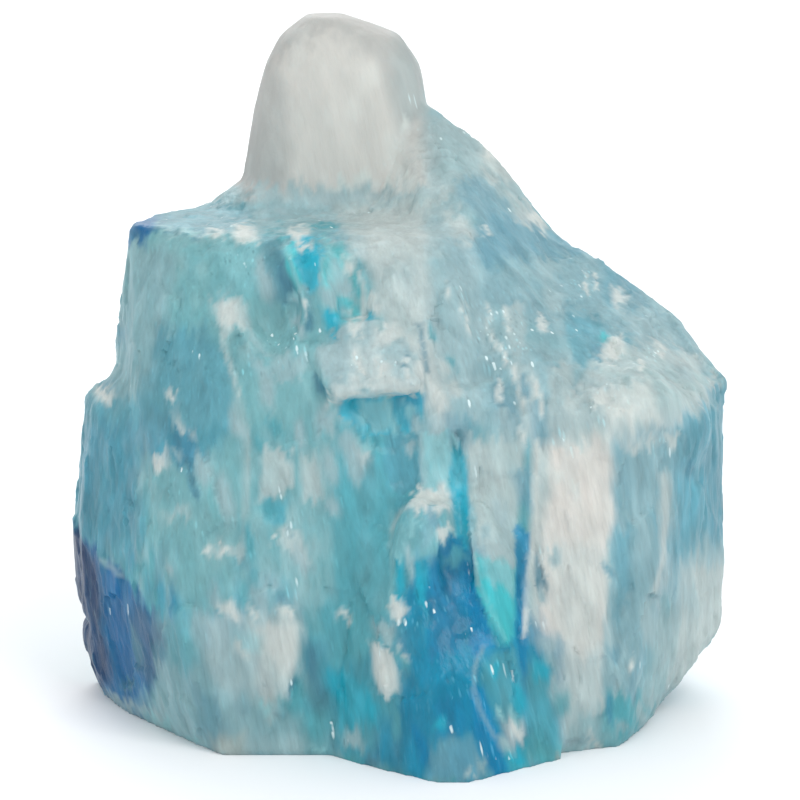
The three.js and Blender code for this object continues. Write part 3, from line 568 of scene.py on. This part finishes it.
def cells(points, size, channel):
    """The nearest of the middles scattered one to a box of the given size. Gives the way from that middle,
    its cell, and how much further the second nearest is, all in boxes."""
    q = points / np.asarray(size, float)
    low = np.floor(q)
    nearest = np.full(len(q), np.inf)
    second = np.full(len(q), np.inf)
    way = np.zeros_like(q)
    home = np.zeros_like(q)
    for step in np.ndindex(3, 3, 3):
        cell = low + np.array(step) - 1
        middle = cell + np.stack([0.1 + 0.8 * scatter(cell, channel + k) for k in range(3)], axis=1)
        gap = q - middle
        far = np.linalg.norm(gap, axis=1)
        closer = far < nearest
        second = np.where(closer, nearest, np.minimum(second, far))
        nearest = np.where(closer, far, nearest)
        way[closer] = gap[closer]
        home[closer] = cell[closer]
    return way, home, second - nearest


def to_grain(points):
    """Turns points into the grain's frame: about the upright by the turn, then about the front axis by the
    lean, so that the third number runs along the flutes."""
    ct, st = math.cos(GRAIN_TURN), math.sin(GRAIN_TURN)
    cl, sl = math.cos(GRAIN_LEAN), math.sin(GRAIN_LEAN)
    turned = points @ np.array([[ct, -st, 0], [st, ct, 0], [0, 0, 1]]).T
    return turned @ np.array([[cl, 0, sl], [0, 1, 0], [-sl, 0, cl]]).T


def camera_axes():
    """The camera's place and its unit vectors to the right, up and forward."""
    forward = np.array([0, math.cos(CAMERA_ELEVATION), -math.sin(CAMERA_ELEVATION)])
    right = np.array([1.0, 0.0, 0.0])
    up = np.cross(right, forward)
    return TARGET - forward * CAMERA_DISTANCE, right, up, forward


def front_view(points):
    """Where points lie in the front view, in its pixels from the upper left, as a fixed eye sees them."""
    eye, right, up, forward = camera_axes()
    rel = points - eye
    depth = rel @ forward
    scale = VIEW_PIXELS / 2 / VIEW_HALF_WIDTH * CAMERA_DISTANCE / depth
    return np.stack([VIEW_PIXELS / 2 + rel @ right * scale, VIEW_PIXELS / 2 - rel @ up * scale], axis=1)


def from_line(spots, route):
    """The distance from each spot to the nearest stretch of a route of straight stretches."""
    nearest = np.full(len(spots), np.inf)
    for a, b in zip(np.array(route[:-1], float), np.array(route[1:], float)):
        edge = b - a
        rel = spots - a
        share = np.clip(rel @ edge / (edge @ edge), 0, 1)
        nearest = np.minimum(nearest, np.linalg.norm(rel - share[:, None] * edge, axis=1))
    return nearest


def inside(spots, outline):
    """How far each spot is inside a closed outline, negative outside: the distance to the nearest edge, with
    the sign of whether a line to the right crosses the outline an odd number of times. It never crosses a
    level edge."""
    closed = outline + outline[:1]
    odd = np.zeros(len(spots), bool)
    for (left, low), (right, high) in zip(closed[:-1], closed[1:]):
        if low != high:
            spans = (low > spots[:, 1]) != (high > spots[:, 1])
            cross = left + (spots[:, 1] - low) * (right - left) / (high - low)
            odd ^= spans & (spots[:, 0] < cross)
    nearest = from_line(spots, closed)
    return np.where(odd, nearest, -nearest)


def fine_skin(solid):
    """A copy of the solid as an even mesh of small squares, and its vertices and normals in millimetres."""
    mesh = solid.data.copy()
    skin = bpy.data.objects.new("crystal_skin", mesh)
    bpy.context.scene.collection.objects.link(skin)
    weld = skin.modifiers.new("weld", "WELD")
    weld.merge_threshold = 0.002 * MM
    remesh = skin.modifiers.new("remesh", "REMESH")
    remesh.mode = "VOXEL"
    remesh.voxel_size = SKIN_CELL * MM
    evaluated = skin.evaluated_get(bpy.context.evaluated_depsgraph_get())
    final = bpy.data.meshes.new_from_object(evaluated)
    skin.modifiers.clear()
    skin.data = final
    final.name = "crystal_skin"
    count = len(final.vertices)
    co = np.zeros(count * 3)
    final.vertices.foreach_get("co", co)
    points = worn(co.reshape(-1, 3) / MM, final)
    final.vertices.foreach_set("co", (points * MM).ravel())
    final.update()
    normal = np.zeros(count * 3)
    final.vertex_normals.foreach_get("vector", normal)
    return skin, points, normal.reshape(-1, 3)


def worn(points, mesh):
    """The skin worn soft: each vertex goes half way to the middle of its neighbours, a few times everywhere
    but at the ledge's left corner, many more times round the rest of the ledge, whose edges are blunt, and
    most often at the soft spots of the front."""
    edges = np.zeros(len(mesh.edges) * 2, np.int32)
    mesh.edges.foreach_get("vertices", edges)
    here, there = np.concatenate([edges.reshape(-1, 2), edges.reshape(-1, 2)[:, ::-1]]).T
    count = np.bincount(here, minlength=len(points))[:, None]
    bottom, low, high, top = SOFT_LEDGE
    ledge = smoothstep(bottom, low, points[:, 2]) * smoothstep(top, high, points[:, 2])
    corner = ledge * smoothstep(*LEDGE_CORNER, points[:, 0])
    ledge = ledge - corner
    view = front_view(points)
    spot = np.zeros(len(points))
    for x, y, reach in SOFT_SPOTS:
        away = np.hypot(view[:, 0] - x, view[:, 1] - y)
        spot = np.maximum(spot, (points[:, 1] < 0) * (1 - smoothstep(0.5 * reach, reach, away)))
    foot = smoothstep(0, FOOT_HEIGHT, points[:, 2])
    for turn in range(WEAR_SPOTS):
        if turn < WEAR:
            share = 0.5 * foot * (1 - CORNER_KEPT * corner)
        elif turn < WEAR_LEDGE:
            share = 0.5 * foot * np.maximum(ledge, spot)
        else:
            share = 0.5 * foot * spot
        sums = [np.bincount(here, points[there, k], len(points)) for k in range(3)]
        middle = np.stack(sums, axis=1) / count
        points = points + (middle - points) * share[:, None]
    return points


def on_knob(points):
    """1 on the smooth knob and 0 away from it, by the distance from its middle line, and by height with an
    edge drawn out in streaks."""
    away = np.hypot(points[:, 0] - KNOB_MIDDLE[0], points[:, 1] - KNOB_MIDDLE[1])
    streak = KNOB_STREAK * (soft_noise(to_grain(points), KNOB_STREAKS, 350) - 0.5)
    risen = smoothstep(KNOB_HEIGHT - KNOB_EDGE, KNOB_HEIGHT + KNOB_EDGE, points[:, 2] + streak)
    return risen * (1 - smoothstep(KNOB_REACH - KNOB_RIM, KNOB_REACH, away))


def relief(points):
    """How far the surface stands out. Each size of facet adds, in its own cell of the grain, a step of that
    cell's height and a slope of that cell's tilt. Long soft noise along the grain adds the flutes."""
    grain = to_grain(points)
    rise = np.zeros(len(points))
    for k, (wide, long, step, tilt) in enumerate(FACETS):
        way, home, _ = cells(grain, (wide, wide, long), 10 + 20 * k)
        lean = np.stack([scatter(home, 15 + 20 * k + axis) - 0.5 for axis in range(3)], axis=1)
        rise += step * (scatter(home, 14 + 20 * k) - 0.5) + tilt * np.sum(lean * way, axis=1)
    rise += FLUTE_HEIGHT * (2 * soft_noise(grain, FLUTES, 90) - 1)
    return rise


def coat(points, grain):
    """The base coat, from large cells of the grain to small. Each painted cell picks a tint by its own
    number, moved towards the paler ones by its height, and is laid over the larger cells, fading at its
    rim."""
    height = points[:, 2] / TOP - 0.5
    wander = np.stack([soft_noise(grain, COAT_WANDER, 200 + k) - 0.5 for k in range(3)], axis=1)
    wander[:, 2] += 1.6 * (soft_noise(grain, FINE_STREAKS, 204) - 0.5)
    colour = np.tile(linear("teal"), (len(points), 1))
    frost = np.full(len(points), FROST_OTHER)
    for k, (wide, long, strength, soft, share, tints) in enumerate(COAT):
        palette = np.array([linear(tint) for tint in tints])
        frosts = np.array([FROST.get(tint, FROST_OTHER) for tint in tints])
        _, home, margin = cells(grain + wander * wide * 0.6, (wide, wide, long), 210 + 10 * k)
        number = np.clip(scatter(home, 214 + 10 * k) + COAT_PALER * height, 0, 0.999)
        pick = (number * len(tints)).astype(int)
        cover = strength * smoothstep(0, soft, margin) * (scatter(home, 215 + 10 * k) < share)
        colour += (palette[pick] - colour) * cover[:, None]
        frost += (frosts[pick] - frost) * cover
    return colour, frost


def drawn_out(points, grain):
    """Where each vertex looks for its patch in the front view: its own place, moved along the grain by narrow
    long noise, which feathers the edges into streaks, and a little every way by wider noise."""
    spots = front_view(points)
    streak = STREAK_REACH * (soft_noise(grain, FINE_STREAKS, 300) - 0.5)
    spots[:, 0] += streak * math.tan(GRAIN_LEAN)
    spots[:, 1] += streak
    for axis in range(2):
        spots[:, axis] += WANDER_REACH * (soft_noise(grain, PATCH_WANDER, 310 + axis) - 0.5)
    return spots


def laid_over(under, name, cover):
    """Colour and frost with a tint laid over them: each goes that share of the way to the tint's own."""
    colour, frost = under
    colour = colour + (linear(name) - colour) * cover[:, None]
    frost = frost + (FROST.get(name, FROST_OTHER) - frost) * cover
    return colour, frost


def painted(points, normals):
    """Tint, frost, painted glints and smoothness of every vertex: the base coat, veils of haze and teal, and
    over them the patches, tufts and lines of the front view, some of them painted shade and painted light.
    These fade where a face turns away from the front."""
    grain = to_grain(points)
    knob = on_knob(points)
    under = coat(points, grain)
    for k, tint in enumerate(("haze", "teal")):
        wide = smoothstep(0.5, 0.85, soft_noise(grain, VEILS, 330 + 10 * k))
        under = laid_over(under, tint, VEIL * wide * (0.5 + soft_noise(grain, VEIL_STREAKS, 331 + 10 * k)))
    under = laid_over(under, "chalk", knob)
    eye = camera_axes()[0]
    toward = eye - points
    facing = np.sum(normals * toward, axis=1) / np.linalg.norm(toward, axis=1)
    seen = smoothstep(*TURNED, facing)
    spots = drawn_out(points, grain)
    for k, (_, tint, strength, edge, outline) in enumerate(PATCHES):
        uneven = 1 - PATCH_UNEVEN * soft_noise(grain, PATCH_CLOUDS, 400 + k)
        within = smoothstep(-edge, edge, inside(spots, outline))
        under = laid_over(under, tint, strength * uneven * seen * within)
    light, dark = [smoothstep(0.52, 0.8, soft_noise(grain, MOTTLE, 500 + 10 * k)) for k in range(2)]
    colour, frost = under
    gain = 1 + (MOTTLE_LIGHT * light - MOTTLE_DARK * dark) * (1 - MOTTLE_FROSTED * frost)
    misted = MOTTLE_MIST * light * smoothstep(0.2, 0.4, frost)
    under = laid_over((colour * gain[:, None], frost), "mist", misted)
    for tint, marks in TUFTS.items():
        for x, y, wide, tall in marks:
            rise = spots[:, 1] - y
            across = spots[:, 0] - x - rise * math.tan(GRAIN_LEAN)
            away = np.hypot(across / wide, rise / tall)
            under = laid_over(under, tint, TUFT_STRENGTH * seen * (1 - smoothstep(*TUFT_FADE, away)))
    plain = front_view(points)
    for tint, strength, half, route in LINES:
        away = from_line(plain, route)
        under = laid_over(under, tint, strength * seen * (1 - smoothstep(half * 0.5, half + LINE_FADE, away)))
    # Painted glints: where bright marks are painted as highlights, and the fine strokes drawn stronger
    painted_glints = PAINTED_GLINT_OTHER * np.ones(len(points))
    for x, y, reach in PAINTED_GLINT_SPOTS:
        away = np.hypot(plain[:, 0] - x, plain[:, 1] - y)
        painted_glints = np.maximum(painted_glints, seen * (1 - smoothstep(reach * 0.5, reach * 1.3, away)))
    return under[0], under[1], painted_glints * (1 - KNOB_DULL * knob), knob


def crystal():
    """The lump's skin: the solid's fine copy, pushed out and in by the relief, its tints in attributes."""
    skin, points, normals = fine_skin(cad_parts["salt_crystal"])
    calm = 1 - KNOB_CALM * on_knob(points)
    foot = smoothstep(0, FOOT_HEIGHT, points[:, 2])
    shifted = points + normals * (relief(points) * calm * foot)[:, None]
    shifted[:, 2] = np.where(points[:, 2] < FOOT_FLAT, 0, np.maximum(shifted[:, 2], FOOT_LIFT))
    colour, *rest = painted(points, normals)
    mesh = skin.data
    mesh.vertices.foreach_set("co", (shifted * MM).ravel())
    rgba = np.concatenate([colour, np.ones((len(colour), 1))], axis=1)
    tints = mesh.attributes.new("tint", "FLOAT_COLOR", "POINT")
    tints.data.foreach_set("color", rgba.astype(np.float32).ravel())
    for name, values in zip(("frost", "painted_glints", "smooth"), rest):
        mesh.attributes.new(name, "FLOAT", "POINT").data.foreach_set("value", values.astype(np.float32))
    mesh.shade_smooth()
    mesh.set_sharp_from_angle(angle=SHARP_ANGLE)
    mesh.update()
    mesh.materials.clear()
    mesh.materials.append(salt_material())
    return skin


def node(tree, kind, **values):
    """A node of that kind, with its properties, and its inputs by name or number with in_ before them. An
    input is linked where its value is another node's output, and else set."""
    made = tree.nodes.new(kind)
    for name, value in values.items():
        if not name.startswith("in_"):
            setattr(made, name, value)
            continue
        key = name[3:].replace("_", " ")
        socket = made.inputs[int(key) if key.isdigit() else key]
        if isinstance(value, bpy.types.NodeSocket):
            tree.links.new(value, socket)
        else:
            socket.default_value = value
    return made


def ranged(tree, value, start, end, kind="LINEAR"):
    """A value moved from the range of the first two numbers to that of the last two."""
    made = node(
        tree, "ShaderNodeMapRange", interpolation_type=kind, in_Value=value,
        in_From_Min=start[0], in_From_Max=start[1], in_To_Min=end[0], in_To_Max=end[1],
    )
    return made.outputs["Result"]


def worked_out(tree, operation, first, second, **more):
    """What an operation makes of two or more values."""
    return node(tree, "ShaderNodeMath", operation=operation, in_0=first, in_1=second, **more).outputs["Value"]


def mixed(tree, blend, share, under, over):
    """A colour blended over another by a share."""
    made = node(
        tree, "ShaderNodeMix", data_type="RGBA", blend_type=blend, in_Factor=share, in_6=under, in_7=over,
    )
    return made.outputs[2]


def drawn_texture(tree, kind, grain, squeeze, **values):
    """A texture drawn out along the grain, because its place is squeezed along it."""
    place = node(tree, "ShaderNodeMapping", in_Vector=grain, in_Scale=(1, 1, squeeze))
    return node(tree, kind, in_Vector=place.outputs["Vector"], **values).outputs


def salt_material():
    """Cloudy blue salt: clear and glossy where it is deep blue, frosted where it is pale, with fine streaks
    along the grain, small bright marks painted as glints, highlights of tiny facets, and a blue that deepens
    with thickness."""
    material = bpy.data.materials.new("blue_salt")
    material.use_nodes = True
    tree = material.node_tree
    shader = tree.nodes["Principled BSDF"]
    tint, frost, painted_glints, smooth = [
        node(tree, "ShaderNodeAttribute", attribute_name=name).outputs
        for name in ("tint", "frost", "painted_glints", "smooth")
    ]
    place = node(tree, "ShaderNodeTexCoord").outputs["Object"]
    grain = node(tree, "ShaderNodeMapping", in_Vector=place, in_Rotation=(0, GRAIN_LEAN, 0)).outputs["Vector"]

    streaks = drawn_texture(
        tree, "ShaderNodeTexNoise", grain, STREAK_SQUEEZE,
        in_Scale=STREAK_SCALE, in_Detail=4.0, in_Roughness=0.6,
    )
    streak_light = ranged(tree, streaks["Fac"], (0.3, 0.7), STREAK_LIGHT)
    calm = ranged(tree, smooth["Fac"], (0, 1), (1.0, 0.3))
    colour = mixed(tree, "MULTIPLY", calm, tint["Color"], streak_light)

    strokes = drawn_texture(tree, "ShaderNodeTexVoronoi", grain, STROKE_SQUEEZE, in_Scale=STROKE_SCALE)
    chance = node(tree, "ShaderNodeSeparateColor", in_Color=strokes["Color"]).outputs
    core = ranged(tree, strokes["Distance"], (0.5, 0.1), (0, 1), "SMOOTHSTEP")
    bristle = ranged(tree, painted_glints["Fac"], (0, 0.6), (0.22, 1.0))
    fainter = ranged(tree, frost["Fac"], (0.5, 1), (1.0, 0.35))
    drawn = worked_out(tree, "MULTIPLY", core, worked_out(tree, "MULTIPLY", bristle, fainter))
    for channel, most, blend, toward in STROKES:
        picked = ranged(tree, chance[channel], (0.6, 0.95), (0, most))
        colour = mixed(tree, blend, worked_out(tree, "MULTIPLY", picked, drawn), colour, toward)

    # Painted glints: a pale colour mixed into the base colour in small marks, as highlights of tiny facets
    glint_cells = drawn_texture(tree, "ShaderNodeTexVoronoi", grain, STREAK_SQUEEZE, in_Scale=GLINT_SCALE)
    chance = node(tree, "ShaderNodeSeparateColor", in_Color=glint_cells["Color"]).outputs
    threshold = ranged(tree, painted_glints["Fac"], (0, 1), (1.0, GLINT_CHOSEN))
    chosen = worked_out(tree, "GREATER_THAN", chance["Red"], threshold)
    brightness = ranged(tree, chance["Green"], (0, 1), PAINTED_GLINT_BRIGHTNESS)
    ragged = worked_out(tree, "MULTIPLY_ADD", streaks["Fac"], 0.5, in_2=glint_cells["Distance"])
    core = ranged(tree, ragged, GLINT_EDGE, (0, 1), "SMOOTHSTEP")
    shown = worked_out(tree, "MULTIPLY", chosen, brightness)
    painted_glint = worked_out(tree, "MULTIPLY", shown, core, use_clamp=True)
    colour = mixed(tree, "MIX", painted_glint, colour, PAINTED_GLINT_COLOUR)
    tree.links.new(colour, shader.inputs["Base Color"])
    tree.links.new(ranged(tree, frost["Fac"], (0, 1), ROUGHNESS), shader.inputs["Roughness"])

    facets = drawn_texture(tree, "ShaderNodeTexVoronoi", grain, FACET_SQUEEZE, in_Scale=FACET_SCALE)
    facet_height = worked_out(tree, "MULTIPLY", facets["Distance"], 0.6)
    heights = worked_out(tree, "ADD", facet_height, streaks["Fac"])
    bump = node(tree, "ShaderNodeBump", in_Strength=0.5, in_Distance=BUMP_HEIGHT * MM, in_Height=heights)
    tree.links.new(bump.outputs["Normal"], shader.inputs["Normal"])

    shader.inputs["IOR"].default_value = IOR
    shader.inputs["Specular IOR Level"].default_value = 0.06
    shader.inputs["Transmission Weight"].default_value = TRANSMISSION
    shader.inputs["Subsurface Weight"].default_value = 0.45
    shader.inputs["Subsurface Radius"].default_value = (0.9, 1.0, 1.0)
    shader.inputs["Subsurface Scale"].default_value = SCATTER_DEPTH * MM
    deep = node(tree, "ShaderNodeVolumeAbsorption", in_Color=DEEP_BLUE, in_Density=ABSORPTION)
    tree.links.new(deep.outputs["Volume"], tree.nodes["Material Output"].inputs["Volume"])
    return material


def floor():
    """A wide pale floor under the lump."""
    mesh = bpy.data.meshes.new("floor")
    half = 3.0
    corners = [(-half, -half, 0), (half, -half, 0), (half, half, 0), (-half, half, 0)]
    mesh.from_pydata(corners, [], [(0, 1, 2, 3)])
    plane = bpy.data.objects.new("floor", mesh)
    bpy.context.scene.collection.objects.link(plane)
    material = bpy.data.materials.new("pale_floor")
    material.use_nodes = True
    shader = material.node_tree.nodes["Principled BSDF"]
    shader.inputs["Base Color"].default_value = (0.86, 0.87, 0.88, 1)
    shader.inputs["Roughness"].default_value = 0.7
    mesh.materials.append(material)


def softbox(name, place, aim, size, power):
    """A square white light of that size in metres, at a place and aimed at another."""
    light = bpy.data.lights.new(name, "AREA")
    light.shape = "SQUARE"
    light.size = size
    light.energy = power
    lamp = bpy.data.objects.new(name, light)
    bpy.context.scene.collection.objects.link(lamp)
    lamp.location = place
    lamp.rotation_euler = (Vector(aim) - Vector(place)).to_track_quat("-Z", "Y").to_euler()


def studio():
    """Plain soft light: a bright pale surround, a broad key from the upper right, a lower fill on the left
    and a light from behind."""
    world = bpy.data.worlds.new("studio")
    bpy.context.scene.world = world
    world.use_nodes = True
    background = world.node_tree.nodes["Background"]
    background.inputs["Color"].default_value = (0.96, 0.98, 1.0, 1)
    background.inputs["Strength"].default_value = 0.95
    middle = (0, 0, 0.035)
    softbox("key", (0.35, -0.45, 0.6), middle, 0.4, 3.0)
    softbox("fill", (-0.5, -0.5, 0.25), middle, 0.5, 0.6)
    softbox("back", (-0.1, 0.6, 0.5), middle, 0.5, 2.2)
    bpy.context.scene.view_settings.view_transform = "Standard"


def camera():
    """The camera at the photograph's angle."""
    eye, _, _, forward = camera_axes()
    data = bpy.data.cameras.new("camera")
    data.sensor_width = SENSOR_WIDTH
    data.lens = SENSOR_WIDTH / 2 * CAMERA_DISTANCE / VIEW_HALF_WIDTH
    data.clip_end = 10.0
    lens = bpy.data.objects.new("camera", data)
    bpy.context.scene.collection.objects.link(lens)
    lens.location = Vector(eye * MM)
    lens.rotation_euler = Vector(forward).to_track_quat("-Z", "Y").to_euler()
    bpy.context.scene.camera = lens


camera()
studio()
floor()
lump = crystal()
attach(lump, "root")
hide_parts("salt_crystal")
